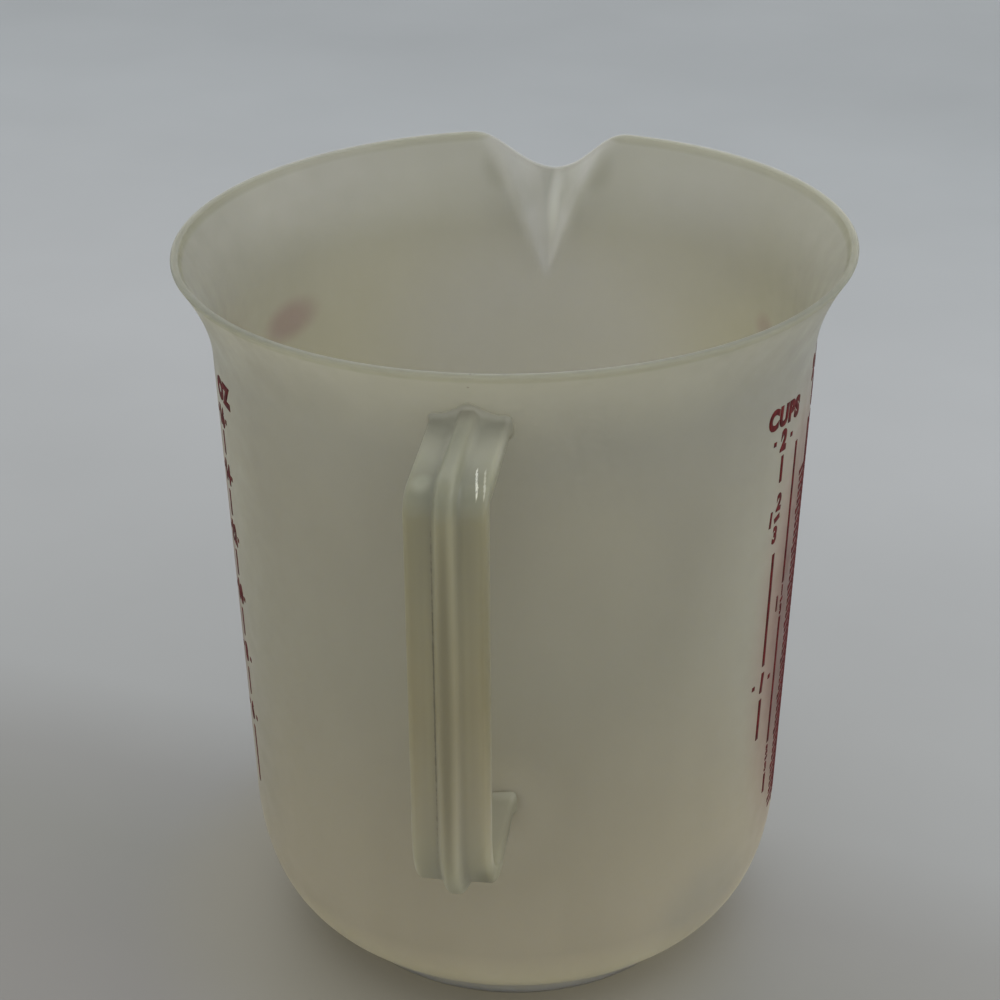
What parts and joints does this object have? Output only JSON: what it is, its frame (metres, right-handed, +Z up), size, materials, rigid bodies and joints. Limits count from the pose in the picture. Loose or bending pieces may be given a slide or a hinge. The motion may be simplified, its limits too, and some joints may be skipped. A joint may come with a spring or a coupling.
{
  "type": "measuring jug",
  "caption": "Two-cup translucent plastic measuring jug with a flared mouth, a pressed pouring spout, a ribbed strap handle, a foot ring and printed red scales.",
  "frame": {"origin": "middle of the bounding box's footprint, on the surface that the foot ring stands on; the round body's own axis is the vertical line x = 0, y = +7.3 mm", "axes": "+Z up, -Y towards the handle, +Y towards the spout, X across the jug"},
  "size_m": [0.1, 0.1255, 0.1155],
  "materials": {
    "polypropylene": "satin",
    "ink": "matte"
  },
  "bodies": {
    "root": {"jug_body": "polypropylene", "handle": "polypropylene", "cup_line_1": "ink", "cup_line_2": "ink", "cup_line_3": "ink", "third_cup_line_1": "ink", "third_cup_line_2": "ink", "third_cup_line_3": "ink", "right_front_line_1": "ink", "right_rear_line_1": "ink", "hundred_millilitre_line_1": "ink", "hundred_millilitre_line_2": "ink", "hundred_millilitre_line_3": "ink", "hundred_millilitre_line_4": "ink", "ounce_line_1": "ink", "ounce_line_2": "ink", "ounce_line_3": "ink", "ounce_line_4": "ink", "ounce_line_5": "ink", "ounce_line_6": "ink", "left_front_line_1": "ink", "left_rear_line_1": "ink", "fifty_millilitre_line_1": "ink", "fifty_millilitre_line_2": "ink", "fifty_millilitre_line_3": "ink", "fifty_millilitre_line_4": "ink"}
  },
  "joints": []
}
